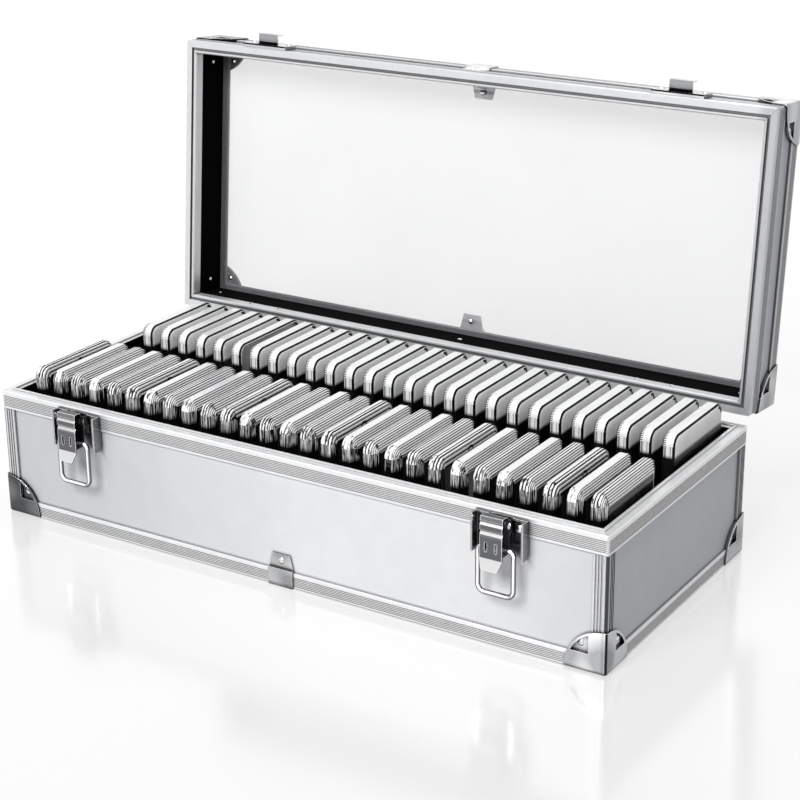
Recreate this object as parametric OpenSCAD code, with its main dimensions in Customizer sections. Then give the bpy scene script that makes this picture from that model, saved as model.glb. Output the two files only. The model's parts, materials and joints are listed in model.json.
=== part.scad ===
// Coin display case: an aluminium-framed case with a window in its lid, holding two rows
// of coin slabs on edge. Millimetres. The origin is at the centre of the underside,
// +X runs to the right along the front, +Y to the hinge side and +Z up. The lid stands open.

/* [Case] */
// Outside length over the edge rails
case_l = 400; // [330:1:480]
// Outside depth over the edge rails
case_w = 173; // [165:1:210]
// Height of the base, from the surface it stands on to its rim
base_h = 77.5; // [64:0.5:100]
// Height of the lid, from its rim to the top of its frame
lid_h = 34; // [28:0.5:50]
// Angle at which the lid stands open against its hinges
open_deg = 95.3; // [90:0.1:100]
// Gap between the two rims when the lid is shut
rim_gap = 0.3; // [0.2:0.1:1]
// Thickness of the wall panels
wall_t = 4.5; // [3.5:0.1:7]
// Thickness of the floor board
floor_t = 4; // [3:0.1:8]
// Thickness of the black lining sheets
lining_t = 0.8; // [0.5:0.1:2]

/* [Edge rails] */
// Metal thickness of a rail, ribs included
rail_t = 1.5; // [1.2:0.1:2.5]
// Height of the rails round the two rims
rim_rail_h = 11; // [9:0.1:14]
// Height of the rails along the other edges
edge_rail_h = 9.5; // [7:0.1:12]
// Thickness of the rim's mating face
rim_web_t = 2.4; // [2:0.1:3.5]
// Height of the rim rail's inner leg
inner_leg_h = 7; // [5:0.1:10]
// Thickness of the rim rail's inner leg
inner_leg_t = 1.7; // [1:0.1:2.5]
// Distance from one rib to the next
rib_pitch = 1; // [0.8:0.1:2]
// Depth of the grooves between the ribs
rib_depth = 0.4; // [0.2:0.1:0.6]
// Height of the tongue on the base's rim
tongue_h = 0.9; // [0.5:0.1:1.2]
// Width of the tongue at its root
tongue_w = 1.2; // [0.8:0.1:1.8]
// Width of each leg of a corner post
post_leg = 8.5; // [6:0.1:11]
// Radius of the rounded upright edges
edge_r = 2; // [1:0.1:3]

/* [Corner caps and clips] */
// Reach of a corner cap from its corner
cap_reach = 23.4; // [20:0.1:28]
// Thickness of the pressed metal of caps and clips
cap_t = 0.9; // [0.6:0.1:1.2]
// Distance of a cap's rivets from each edge
cap_rivet_in = 14.4; // [13:0.1:17]
// Width of an edge clip
clip_w = 16.3; // [12:0.1:22]
// Length of a clip's tab beyond the rail
clip_tab = 9.4; // [7:0.1:12]

/* [Window] */
// Thickness of the clear window pane
pane_t = 2; // [1.5:0.1:4]
// Thickness of the gasket strips under the pane
gasket_t = 0.8; // [0.5:0.1:1.5]
// Width of the lid frame's top face
frame_w = 10; // [9.7:0.1:12]
// Thickness of the lid frame's top face
frame_t = 1.2; // [1:0.1:2]

/* [Slabs and foam] */
// Distance from one slot to the next
slot_pitch = 13.6; // [12.5:0.1:18]
// Thickness of a coin slab
slab_t = 7.6; // [6:0.1:9]
// Height of the slabs in the front row
front_slab_h = 84; // [75:0.5:88]
// Width of the slabs in the front row
front_slab_w = 64; // [50:0.5:66]
// Height of the slabs in the rear row
rear_slab_h = 88; // [75:0.5:92]
// Width of the slabs in the rear row
rear_slab_w = 62.5; // [50:0.5:66]
// Radius of a slab's corners
slab_r = 6; // [3:0.5:10]
// Clearance between a slab and the foam on each side
slot_gap = 0.35; // [0.2:0.05:1]
// Thickness of the foam pad on the floor
pad_t = 2.5; // [1.5:0.1:5]
// Height of the foam ribs above the pad
rib_h = 53.5; // [30:0.5:56]
// Thickness of the foam wall between the rows
divider_t = 8; // [4:0.5:14]
// Distance of the foam wall's middle behind the case's middle
divider_y = 1; // [-6:0.5:6]
// Diameter of the coin in a slab
coin_d = 38.1; // [20:0.1:40.6]
// Thickness of the coin in a slab
coin_t = 2.4; // [1:0.1:2.8]
// Slot, counted from the left, of the front slab that lifts out
front_lift_slot = 21; // [2:1:22]
// Slot, counted from the left, of the rear slab that lifts out
rear_lift_slot = 6; // [2:1:22]

/* [Latches] */
// Distance of each latch's middle from the case's middle
latch_x = 140; // [90:0.5:150]
// Width of a latch plate
latch_w = 30.4; // [29:0.1:36]
// Height of a latch plate
latch_h = 21.5; // [20:0.1:23]
// Distance from the rim down to the top of a latch plate
latch_drop = 1.5; // [1:0.1:3]
// Width of a latch lever
lever_w = 13; // [12:0.1:16]
// How far a lever's face stands off the case
lever_out = 12.3; // [11:0.1:13]
// Metal thickness of the latches and catch plates
latch_t = 1; // [0.8:0.1:1.2]
// Radius of a latch's pivot pin
latch_pin_r = 1; // [0.8:0.05:1.2]
// Radius of the bail's wire
wire_r = 1.4; // [1.1:0.05:1.5]
// Distance between the middles of a bail's legs
bail_w = 20.8; // [19.6:0.1:23]
// Length of a bail from its pivot to the middle of its bar
bail_len = 25.9; // [25.8:0.1:26.3]
// Clearance round a turning pin
pin_gap = 0.05; // [0.03:0.01:0.1]
// Width of a catch plate
catch_w = 32; // [30:0.5:44]
// Width of a catch plate's hook
hook_w = 14; // [10:0.5:16]

/* [Hinges] */
// Distance of each hinge's middle from the case's middle
hinge_x = 138; // [90:0.5:150]
// Width of a hinge
hinge_w = 33; // [24:0.5:45]
// Length of a hinge leaf from the hinge's axis
leaf_len = 14; // [12:0.5:16]
// Thickness of a hinge leaf
leaf_t = 1.2; // [1:0.1:1.5]
// Distance of the hinges' axis behind the case
hinge_out = 3; // [2.6:0.1:4]
// Height of the hinges' axis above the base's rim
hinge_up = 1.2; // [0.2:0.1:2]
// Radius of a hinge knuckle
knuckle_r = 2.2; // [2:0.1:2.4]
// Radius of a hinge pin
hinge_pin_r = 1.1; // [0.8:0.05:1.3]

/* [Hidden] */
$fn = 48;

half_l = case_l / 2;
half_w = case_w / 2;
// small overlap that keeps a cut's face off the surface it opens
eps = 0.01;
// depth of the panels' inner faces, of the linings' and of the rims' inner legs
panel_d = rail_t + wall_t;
lining_d = panel_d + lining_t;
rim_d = panel_d + inner_leg_t;
// thickness of the bottom rail's flat leg, which is flush under the floor board
sole_t = cap_t + 0.1;
chamfer = 0.6;
// half of the hairline joint between two pieces that meet at a corner
joint = 0.05;
// lining, pad and foam heights
pad_top = floor_t + pad_t;
rib_top = pad_top + rib_h;
// slots along a row
slots = floor((case_l - 2 * lining_d) / slot_pitch);
slot_w = slab_t + 2 * slot_gap;
foam_t = slot_pitch - slot_w;
// free strips in front of the front row and behind the rear row
front_margin = 6.8;
rear_margin = 6.7;
front_slab_y = -half_w + lining_d + front_margin + front_slab_w / 2;
rear_slab_y = half_w - lining_d - rear_margin - rear_slab_w / 2;
// lid
lid_z = base_h + rim_gap;
lid_wall_top = lid_h - frame_t - pane_t - gasket_t;
pane_gap = 0.3;
gasket_w = frame_w - 0.4;
hinge_y = half_w + hinge_out;
hinge_z = base_h + hinge_up;
// rivets
rivet_r = 1.2;
rivet_hole_r = rivet_r + pin_gap;
rivet_head_r = 2.7;
rivet_head_h = 1.1;
small_head_r = 1.9;
small_head_h = 0.8;
tail_h = 0.6;
// depth of a blind hole in a wall panel, and of a blind rivet's shank in it
blind_l = 3;
shank_in = blind_l - 0.5;
// caps: where the sunk corner starts beside the post, the rail and the lid's frame
cap_gap = 0.2;
cap_rim = 1.2;
// latches, measured out from the case's face and up from its underside
pivot_out = 6.5;
pivot_z = base_h - 4.2;
bail_out = 7;
bail_z = pivot_z - 13.6;
boss_r = 2.4;
ear_r = 2.2;
ear_back = 1.2;
lever_top = 5.1;
ear_x = lever_w / 2 - latch_t - 0.2;
flange_out = 6.5;
latch_rivet_z = base_h - 7.2;
latch_rivet_x = 10.3;
catch_top = 12.4;
catch_up = 2.4;
catch_rivet_x = catch_w / 2 - 2.8;
catch_rivet_z = catch_top - 3.4;
hook_root = 5;
hook_out = 8.5;
hook_rise = 5;
// hinges
knuckle_gap = 0.15;
leaf_start = knuckle_r + 0.3;
hinge_rivet_down = 5.4;

// the rows stand a little to the right, so the foam is thinner at that end
row_shift = half_l - lining_d - slots * slot_pitch / 2 - 0.3;
function slot_x(i) = (i - (slots - 1) / 2) * slot_pitch + row_shift;
// smooth bands above and below the ribs, and how many ribs fit between them
rim_band = 2.4;
edge_band = 1.6;
rim_ribs = floor((rim_rail_h - rim_band - edge_band) / rib_pitch);
edge_ribs = floor((edge_rail_h - 2 * edge_band) / rib_pitch);
// outline of n ribs that start at height z0, as [depth, height] points going up
function ribs(z0, n) = [
    for (i = [0:n - 1])
    for (p = [[0, 0], [rib_depth, 0.15], [rib_depth, 0.45], [0, 0.6]])
    [p[0], z0 + (i + p[1]) * rib_pitch]
];
// the same points in the other order, and mirrored in height
function down(points) = [for (i = [len(points) - 1:-1:0]) points[i]];
function flip(points) = [for (i = [len(points) - 1:-1:0]) [points[i][0], -points[i][1]]];

// Helpers

module mirrored_x() {
    children();
    mirror([1, 0, 0])
    children();
}

module mirrored_y() {
    children();
    mirror([0, 1, 0])
    children();
}

module open_lid() {
    translate([0, hinge_y, hinge_z])
    rotate([-open_deg, 0, 0])
    translate([0, -hinge_y, lid_z - hinge_z])
    children();
}

// a box between two corners
module block(low, high) {
    translate(low)
    cube(high - low);
}

// a plan outline with rounded corners, raised to height h
module rounded_plan(l, w, r, h) {
    linear_extrude(h) {
        square([l - 2 * r, w], center = true);
        square([l, w - 2 * r], center = true);
        for (x = [-1, 1])
        for (y = [-1, 1])
        translate([x * (l / 2 - r), y * (w / 2 - r)])
        circle(r);
    }
}

// a mitred rail along the front edge, from a profile of [depth, height] points
module front_rail(profile, l, w, depth, low, high) {
    intersection() {
        translate([-l / 2, -w / 2, 0])
        rotate([90, 0, 90])
        linear_extrude(l)
        polygon(profile);
        translate([0, 0, low])
        linear_extrude(high - low)
        polygon([[joint - l / 2, -w / 2], [l / 2 - joint, -w / 2],
                 [l / 2 - joint - depth, depth - w / 2],
                 [joint + depth - l / 2, depth - w / 2]]);
        translate([0, 0, low])
        rounded_plan(l, w, edge_r, high - low);
    }
}

module front_side(profile, depth, low, high) {
    front_rail(profile, case_l, case_w, depth, low, high);
}

module right_side(profile, depth, low, high) {
    rotate([0, 0, 90])
    front_rail(profile, case_w, case_l, depth, low, high);
}

module all_sides(profile, depth, low, high) {
    mirrored_y()
    front_side(profile, depth, low, high);
    mirrored_x()
    right_side(profile, depth, low, high);
}

// a round-headed rivet along +Z: its head sits on z = 0, its shank goes down l, and a
// tail of height tail closes it
module rivet(l, head_r = rivet_head_r, head_h = rivet_head_h, tail = 0) {
    rivet_dome(head_r, head_h);
    translate([0, 0, -l])
    cylinder(h = l + eps, r = rivet_r);
    if (tail > 0)
        translate([0, 0, -l])
        mirror([0, 0, 1])
        rivet_dome(small_head_r * 0.8, tail);
}

module rivet_dome(r, h) {
    ball = (r * r + h * h) / (2 * h);
    rotate_extrude()
    intersection() {
        translate([0, h - ball])
        circle(ball, $fn = 96);
        square([r, h]);
    }
}

module rivet_hole(l) {
    translate([0, 0, -l])
    cylinder(h = l + 2, r = rivet_hole_r);
}

// Base: panels, rails and posts

function rim_profile() = concat(
    [[rail_t, -rim_rail_h], [0.3, -rim_rail_h], [0, 0.3 - rim_rail_h]],
    ribs(edge_band - rim_rail_h, rim_ribs),
    [[0, -chamfer], [chamfer, 0],
     [tongue_d - tongue_w / 2, 0], [tongue_d - tongue_w / 2 + 0.2, tongue_h],
     [tongue_d + tongue_w / 2 - 0.2, tongue_h], [tongue_d + tongue_w / 2, 0],
     [rim_d - chamfer, 0], [rim_d, -chamfer],
     [rim_d, -inner_leg_h], [panel_d, -inner_leg_h],
     [panel_d, -rim_web_t], [rail_t, -rim_web_t]]
);
tongue_d = panel_d - 0.8;
groove_w = tongue_w + 0.6;
groove_h = tongue_h + 0.4;

function bottom_profile() = concat(
    [[panel_d, 0], [panel_d, sole_t], [rail_t, sole_t], [rail_t, edge_rail_h],
     [0.3, edge_rail_h], [0, edge_rail_h - 0.3]],
    down(ribs(edge_band, edge_ribs)),
    [[0, chamfer], [chamfer, 0]]
);

module latch_holes() {
    for (x = [-1, 1])
    for (s = [-1, 1])
    translate([x * latch_x + s * latch_rivet_x, -half_w, latch_rivet_z])
    rotate([90, 0, 0])
    rivet_hole(rail_t + blind_l);
}

module base_clip_hole() {
    translate([0, -half_w, clip_rivet_z(edge_rail_h)])
    rotate([90, 0, 0])
    rivet_hole(rail_t + blind_l);
}

// blind holes of the corner caps, in the long walls
module cap_side_holes() {
    mirrored_x()
    translate([half_l - cap_rivet_in, -half_w, cap_z])
    rotate([90, 0, 0])
    rivet_hole(rail_t + blind_l);
}

module hinge_holes(z) {
    for (x = [-1, 1])
    for (s = [-1, 1])
    translate([x * hinge_x + s * hinge_w / 3, half_w, z])
    rotate([-90, 0, 0])
    rivet_hole(rim_d + 2);
}

module long_panel() {
    block([rail_t - half_l, rail_t - half_w, sole_t],
          [half_l - rail_t, panel_d - half_w, base_h - rim_web_t]);
}

module end_panel() {
    difference() {
        block([half_l - panel_d, panel_d - half_w, sole_t],
              [half_l - rail_t, half_w - panel_d, base_h - rim_web_t]);
        mirrored_y()
        translate([half_l, cap_rivet_in - half_w, cap_z])
        rotate([0, 90, 0])
        rivet_hole(rail_t + blind_l);
    }
}

module cap_sole_cuts(h) {
    mirrored_x()
    mirrored_y()
    translate([half_l, half_w, -eps])
    cylinder(h = h + eps, r = cap_reach + 0.1, $fn = 96);
}

module floor_board() {
    color("dimgray")
    difference() {
        block([panel_d - half_l, panel_d - half_w, 0],
              [half_l - panel_d, half_w - panel_d, floor_t]);
        cap_sole_cuts(sole_t);
    }
}

module front_panel() {
    color("gainsboro")
    difference() {
        long_panel();
        cap_side_holes();
        latch_holes();
        base_clip_hole();
    }
}

module rear_panel() {
    color("gainsboro")
    difference() {
        mirror([0, 1, 0])
        long_panel();
        mirror([0, 1, 0])
        cap_side_holes();
        mirror([0, 1, 0])
        base_clip_hole();
        hinge_holes(base_h - hinge_rivet_down);
    }
}

module left_panel() {
    color("gainsboro")
    mirror([1, 0, 0])
    end_panel();
}

module right_panel() {
    color("gainsboro")
    end_panel();
}

module base_rim_front() {
    translate([0, 0, base_h])
    front_side(rim_profile(), rim_d, -rim_rail_h, tongue_h);
}

module base_rim_right() {
    translate([0, 0, base_h])
    right_side(rim_profile(), rim_d, -rim_rail_h, tongue_h);
}

module front_rim_rail() {
    color("whitesmoke")
    difference() {
        base_rim_front();
        latch_holes();
    }
}

module rear_rim_rail() {
    color("whitesmoke")
    difference() {
        mirror([0, 1, 0])
        base_rim_front();
        hinge_holes(base_h - hinge_rivet_down);
    }
}

module left_rim_rail() {
    color("whitesmoke")
    mirror([1, 0, 0])
    base_rim_right();
}

module right_rim_rail() {
    color("whitesmoke")
    base_rim_right();
}

module base_bottom_front() {
    difference() {
        front_side(bottom_profile(), panel_d, 0, edge_rail_h);
        cap_sole_cuts(sole_t);
    }
}

module base_bottom_right() {
    difference() {
        right_side(bottom_profile(), panel_d, 0, edge_rail_h);
        cap_sole_cuts(sole_t);
    }
}

module front_bottom_rail() {
    color("silver")
    base_bottom_front();
}

module rear_bottom_rail() {
    color("silver")
    mirror([0, 1, 0])
    base_bottom_front();
}

module left_bottom_rail() {
    color("silver")
    mirror([1, 0, 0])
    base_bottom_right();
}

module right_bottom_rail() {
    color("silver")
    base_bottom_right();
}

// an upright corner post at the corner +X, -Y, with a fluted face on each leg
module corner_post(low, high) {
    flute = 1.1;
    intersection() {
        translate([0, 0, low])
        linear_extrude(high - low)
        difference() {
            translate([half_l - post_leg, -half_w])
            square(post_leg);
            translate([half_l - post_leg - 1, rail_t - half_w])
            square([post_leg + 1 - rail_t, post_leg]);
            for (i = [1:3])
            translate([half_l - post_leg + i * 1.7, -half_w])
            square([flute, 2 * rib_depth], center = true);
            for (i = [1:3])
            translate([half_l, post_leg - half_w - i * 1.7])
            square([2 * rib_depth, flute], center = true);
        }
        translate([0, 0, low])
        rounded_plan(case_l, case_w, edge_r, high - low);
    }
}

module base_corner_posts() {
    color("silver")
    mirrored_x()
    mirrored_y()
    corner_post(edge_rail_h, base_h - rim_rail_h);
}

// Corner caps, in a frame whose origin is the corner and whose axes point into the case

module cap_box(low, high, reach) {
    intersection() {
        block(low, high);
        sphere(reach, $fn = 96);
    }
}

// the pressed shell round the corner, with its three edges rounded
module cap_skin() {
    r = 2 * cap_t;
    far = cap_reach + 1;
    c = r - cap_t;
    intersection() {
        difference() {
            union() {
                block([-cap_t, c, c], [far, far, far]);
                block([c, -cap_t, c], [far, far, far]);
                block([c, c, -cap_t], [far, far, far]);
                translate([c, c, c])
                sphere(r);
                translate([c, c, c])
                cylinder(h = far - c, r = r);
                translate([c, c, c])
                rotate([0, 90, 0])
                cylinder(h = far - c, r = r);
                translate([c, c, c])
                rotate([-90, 0, 0])
                cylinder(h = far - c, r = r);
            }
            cube(far + 1);
        }
        sphere(cap_reach, $fn = 96);
    }
}

// the sunk part of one face: z is the face's normal, pointing into the case
module cap_well(x0, y0, sink) {
    cap_box([x0, y0, -cap_t], [cap_reach, cap_reach, sink], cap_reach);
}

module cap_well_cut(x0, y0, sink) {
    cap_box([x0 + cap_t, y0 + cap_t, -cap_reach / 2],
            [cap_reach, cap_reach, sink - cap_t], cap_reach - cap_rim);
    translate([cap_rivet_in, cap_rivet_in, 0])
    cylinder(h = 4 * cap_t + 2 * sink, r = rivet_hole_r, center = true);
}

module base_cap() {
    side_x = post_leg + cap_gap;
    side_z = edge_rail_h + cap_gap - sole_t;
    translate([0, 0, cap_t])
    difference() {
        union() {
            cap_skin();
            mirror([1, 0, -1])
            cap_well(side_z, side_x, rail_t);
            mirror([0, 1, -1])
            cap_well(side_x, side_z, rail_t);
        }
        mirror([1, 0, -1])
        cap_well_cut(side_z, side_x, rail_t);
        mirror([0, 1, -1])
        cap_well_cut(side_x, side_z, rail_t);
    }
}

module base_corner_caps() {
    color("lightgray")
    mirrored_x()
    mirrored_y()
    translate([-half_l, -half_w, 0])
    base_cap();
}

// heads of the cap rivets lie on the sunk parts
module side_cap_rivets(z, l, tail) {
    mirrored_x()
    mirrored_y() {
        translate([half_l - cap_rivet_in, rail_t - cap_t - half_w, z])
        rotate([90, 0, 0])
        rivet(l, small_head_r, small_head_h, tail);
        translate([half_l - rail_t + cap_t, cap_rivet_in - half_w, z])
        rotate([0, 90, 0])
        rivet(l, small_head_r, small_head_h, tail);
    }
}

module base_cap_rivets() {
    color("silver")
    side_cap_rivets(cap_z, cap_t + shank_in, 0);
}
cap_z = cap_rivet_in + cap_t;

// Edge clips: a band over the rail and a tab that is sunk beside it and narrows

// one leg of a clip along +Z from an edge at z = 0, with its outer face towards -Y
module clip_leg(band, sink, tab) {
    low = band + cap_gap;
    narrow = 2.2;
    difference() {
        union() {
            block([-clip_w / 2, -cap_t, 0], [clip_w / 2, 0, low + cap_t]);
            rotate([90, 0, 0])
            translate([0, 0, -sink])
            linear_extrude(sink + cap_t)
            polygon([[-clip_w / 2, low], [clip_w / 2, low],
                     [clip_w / 2 - narrow, low + tab], [narrow - clip_w / 2, low + tab]]);
        }
        block([-clip_w, -2 * cap_t, low + cap_t], [clip_w, sink - cap_t, low + tab + 1]);
        translate([0, 0, clip_rivet_z(band)])
        rotate([90, 0, 0])
        cylinder(h = 4 * cap_t + 2 * sink, r = rivet_hole_r, center = true);
    }
}
function clip_rivet_z(band) = band + clip_tab * 0.6;

module base_edge_clips() {
    color("lightgray")
    mirrored_y()
    translate([0, -half_w, 0])
    clip_leg(edge_rail_h, rail_t, clip_tab);
}

module base_clip_rivets() {
    color("silver")
    mirrored_y()
    translate([0, rail_t - cap_t - half_w, clip_rivet_z(edge_rail_h)])
    rotate([90, 0, 0])
    rivet(cap_t + shank_in, small_head_r, small_head_h);
}

// Base: lining, pad, foam

module lining_sheets(low, high) {
    mirrored_y()
    block([panel_d - half_l, panel_d - half_w, low], [half_l - panel_d, lining_d - half_w, high]);
    mirrored_x()
    block([half_l - lining_d, lining_d - half_w + joint, low],
          [half_l - panel_d, half_w - lining_d - joint, high]);
}

module base_lining() {
    color("black")
    lining_sheets(floor_t, base_h - inner_leg_h);
}

module floor_pad() {
    color("black")
    block([lining_d - half_l, lining_d - half_w, floor_t],
          [half_l - lining_d, half_w - lining_d, pad_top]);
}

module row_divider() {
    color("black")
    block([lining_d - half_l, divider_y - divider_t / 2, pad_top],
          [half_l - lining_d, divider_y + divider_t / 2, rib_top]);
}

module foam_ribs(y0, y1) {
    for (i = [0:slots - 2])
        block([slot_x(i) + slot_w / 2, y0, pad_top], [slot_x(i + 1) - slot_w / 2, y1, rib_top]);
    block([lining_d - half_l, y0, pad_top], [slot_x(0) - slot_w / 2, y1, rib_top]);
    block([slot_x(slots - 1) + slot_w / 2, y0, pad_top], [half_l - lining_d, y1, rib_top]);
}

module front_foam_ribs() {
    color([0.12, 0.12, 0.12])
    foam_ribs(lining_d - half_w, divider_y - divider_t / 2);
}

module rear_foam_ribs() {
    color([0.12, 0.12, 0.12])
    foam_ribs(divider_y + divider_t / 2, half_w - lining_d);
}

// Slabs

// a plate with rounded corners that stands on edge: t thick along X, w wide, h high
module upright_plate(t, w, h, r) {
    translate([-t / 2, 0, 0])
    rotate([90, 0, 90])
    linear_extrude(t) {
        translate([r - w / 2, 0])
        square([w - 2 * r, h]);
        translate([-w / 2, r])
        square([w, h - 2 * r]);
        for (x = [-1, 1])
        for (y = [r, h - r])
        translate([x * (w / 2 - r), y])
        circle(r);
    }
}

module slab_row(first, skip, y, w, h) {
    for (i = [first:slots - 1])
        if (i != skip)
            translate([slot_x(i), y, pad_top])
            upright_plate(slab_t, w, h, slab_r);
}

module front_slabs() {
    color("lightgray")
    slab_row(0, front_lift_slot, front_slab_y, front_slab_w, front_slab_h);
}

module rear_slabs() {
    color("white")
    slab_row(1, rear_lift_slot, rear_slab_y, rear_slab_w, rear_slab_h);
}

// two shells that close round the insert and its coin
module lift_shells(w, h) {
    for (s = [-1, 1])
    difference() {
        intersection() {
            upright_plate(slab_t, w, h, slab_r);
            translate([s * (slab_t / 2 + joint), 0, h / 2])
            cube([slab_t, 2 * w, 2 * h], center = true);
        }
        translate([0, 0, insert_edge - insert_gap])
        upright_plate(insert_t + 2 * insert_gap, w - 2 * (insert_edge - insert_gap),
                      h - 2 * (insert_edge - insert_gap), slab_r - 2);
    }
}
insert_edge = 3;
insert_gap = 0.1;
insert_t = 3.4;

module lift_insert(w, h) {
    difference() {
        translate([0, 0, insert_edge])
        upright_plate(insert_t, w - 2 * insert_edge, h - 2 * insert_edge, slab_r - 2);
        translate([0, 0, coin_z])
        rotate([0, 90, 0])
        cylinder(h = 2 * insert_t, r = coin_d / 2 + 0.3, center = true, $fn = 96);
    }
}
coin_z = 32;

// one half of a coin's section, from its middle out to its edge
function coin_half(s) = [
    [0, s * (coin_t / 2 - 0.3)], [coin_d / 2 - 2, s * (coin_t / 2 - 0.4)],
    [coin_d / 2 - 1.4, s * coin_t / 2], [coin_d / 2, s * coin_t / 2]
];

// a struck disc with a raised rim on both faces
module lift_coin() {
    translate([0, 0, coin_z])
    rotate([0, 90, 0])
    rotate_extrude($fn = 96)
    polygon([for (s = [1, -1]) each s > 0 ? coin_half(1) : down(coin_half(-1))]);
}

module at_front_lift() {
    translate([slot_x(front_lift_slot), front_slab_y, pad_top])
    children();
}

module at_rear_lift() {
    translate([slot_x(rear_lift_slot), rear_slab_y, pad_top])
    children();
}

module front_lift_shells() {
    color("lightgray")
    at_front_lift()
    lift_shells(front_slab_w, front_slab_h);
}

module front_lift_insert() {
    color("white")
    at_front_lift()
    lift_insert(front_slab_w, front_slab_h);
}

module front_lift_coin() {
    color("silver")
    at_front_lift()
    lift_coin();
}

module rear_lift_shells() {
    color("lightgray")
    at_rear_lift()
    lift_shells(rear_slab_w, rear_slab_h);
}

module rear_lift_insert() {
    color("white")
    at_rear_lift()
    lift_insert(rear_slab_w, rear_slab_h);
}

module rear_lift_coin() {
    color("silver")
    at_rear_lift()
    lift_coin();
}

// Latches: each is drawn at the middle of the front, y = 0 on the case's face

module at_latches() {
    mirrored_x()
    translate([latch_x, -half_w, 0])
    children();
}

module latch_plate() {
    top = base_h - latch_drop;
    low = top - latch_h;
    // the plate's top lip leaves room for the lever to swing up
    lip_gap = lever_w + 1;
    lip_l = (latch_w - lip_gap) / 2;
    difference() {
        union() {
            block([-latch_w / 2, -latch_t, low], [latch_w / 2, 0, top]);
            for (s = [-1, 1])
            translate([s * (latch_w + lip_gap) / 4, 0, 0])
            block([-lip_l / 2, -latch_t - 1.2, top - latch_t], [lip_l / 2, 0, top]);
            for (s = [-1, 1])
            translate([s * (latch_w - latch_t) / 2, 0, 0])
            block([-latch_t / 2, -flange_out, low], [latch_t / 2, 0, top]);
            for (s = [-1, 1])
            translate([s * (ear_x - latch_t / 2), 0, 0])
            latch_ear(top);
        }
        for (s = [-1, 1])
        translate([s * latch_rivet_x, 0, latch_rivet_z])
        rotate([90, 0, 0])
        cylinder(h = 4, r = rivet_hole_r, center = true);
    }
}

// an ear that carries the lever's pin
module latch_ear(top) {
    difference() {
        translate([latch_t / 2, 0, 0])
        rotate([90, 0, -90])
        linear_extrude(latch_t) {
            translate([0, pivot_z - ear_r])
            square([pivot_out, ear_r + ear_back]);
            translate([0, pivot_z - 3 * ear_r])
            square([2.4, 3 * ear_r + ear_back]);
            translate([pivot_out, pivot_z])
            circle(ear_r);
        }
        translate([0, -pivot_out, pivot_z])
        rotate([0, 90, 0])
        cylinder(h = 4 * latch_t, r = latch_pin_r + pin_gap, center = true);
    }
}

module latch_plates() {
    color("lightgray")
    at_latches()
    latch_plate();
}

module latch_pins() {
    l = lever_w + 0.3;
    color("silver")
    at_latches()
    translate([0, -pivot_out, pivot_z])
    rotate([0, 90, 0]) {
        cylinder(h = l, r = latch_pin_r, center = true);
        mirrored_z()
        translate([0, 0, l / 2])
        cylinder(h = 0.6, r = 1.7);
    }
}

module mirrored_z() {
    children();
    mirror([0, 0, 1])
    children();
}

module latch_rivets() {
    color("silver")
    at_latches()
    for (s = [-1, 1])
    translate([s * latch_rivet_x, -latch_t, latch_rivet_z])
    rotate([90, 0, 0])
    rivet(latch_t + rail_t + shank_in, 2.1, 0.9);
}

// the lever's pressed face in profile, as [out, height] measured from its pivot
module lever_face() {
    out = lever_out - pivot_out;
    lip_z = -23.6;
    flat_z = -17.5;
    polygon([[1, lever_top - latch_t], [out - 1.2 - latch_t, lever_top - latch_t],
             [out - 0.8 - latch_t, 2.6], [out - latch_t - 1.2, 1.6],
             [out - latch_t - 0.3, 0.2], [out - latch_t - 0.3, -2.2],
             [out - latch_t - 1.2, -3.4], [out - latch_t - 0.3, -4.6],
             [out - latch_t, -6], [out - latch_t, flat_z], [out + 2.2 - latch_t, lip_z],
             [out + 2.2, lip_z], [out, flat_z - 0.3], [out, -6], [out - 0.2, -5],
             [out - 1, -3.4], [out - 0.1, -2.4], [out - 0.1, 0.4], [out - 1, 1.6],
             [out - 0.4, 2.6], [out - 1, lever_top], [1, lever_top]]);
}

module lever() {
    boss_z = bail_z - pivot_z;
    cheek = latch_t;
    difference() {
        union() {
            rotate([90, 0, -90])
            translate([0, 0, -lever_w / 2])
            linear_extrude(lever_w)
            lever_face();
            for (s = [-1, 1])
            translate([s * (lever_w - cheek) / 2 + cheek / 2, 0, 0])
            rotate([90, 0, -90])
            linear_extrude(cheek) {
                polygon([[-ear_r, 0], [-ear_r, -2], [bail_out - pivot_out - boss_r, boss_z],
                         [bail_out - pivot_out, boss_z - boss_r],
                         [lever_out - pivot_out - 0.5, boss_z - boss_r],
                         [lever_out - pivot_out - 0.5, -5], [lever_out - pivot_out - 1.7, -3.4],
                         [lever_out - pivot_out - 1, -2], [lever_out - pivot_out - 1, 0.4],
                         [lever_out - pivot_out - 1.6, 1.6], [lever_out - pivot_out - 1.7, lever_top - 0.3],
                         [0, lever_top - 0.3]]);
                circle(ear_r + 0.8);
                translate([bail_out - pivot_out, boss_z])
                circle(boss_r);
            }
        }
        rotate([0, 90, 0])
        cylinder(h = 2 * lever_w, r = latch_pin_r + pin_gap, center = true);
        translate([0, pivot_out - bail_out, boss_z])
        rotate([0, 90, 0])
        cylinder(h = 2 * lever_w, r = wire_r + pin_gap, center = true);
        for (s = [-1, 1])
        translate([s * 2.9, 0, -11.5])
        lever_slot();
        lip_corner();
    }
}

// a short upright slot through the lever's face
module lever_slot() {
    rotate([90, 0, 0])
    linear_extrude(lever_out) {
        square([1.3, 4], center = true);
        for (z = [-2, 2])
        translate([0, z])
        circle(0.65);
    }
}

// trims the lip to its slanted outline
module lip_corner() {
    rotate([90, 0, 0])
    linear_extrude(lever_out)
    mirrored_x()
    polygon([[lever_w / 2 - 0.2, -18.6], [lever_w, -18.6], [lever_w, -30],
             [lever_w / 2 - 4.2, -30], [lever_w / 2 - 1.5, -22.6]]);
}

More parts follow.
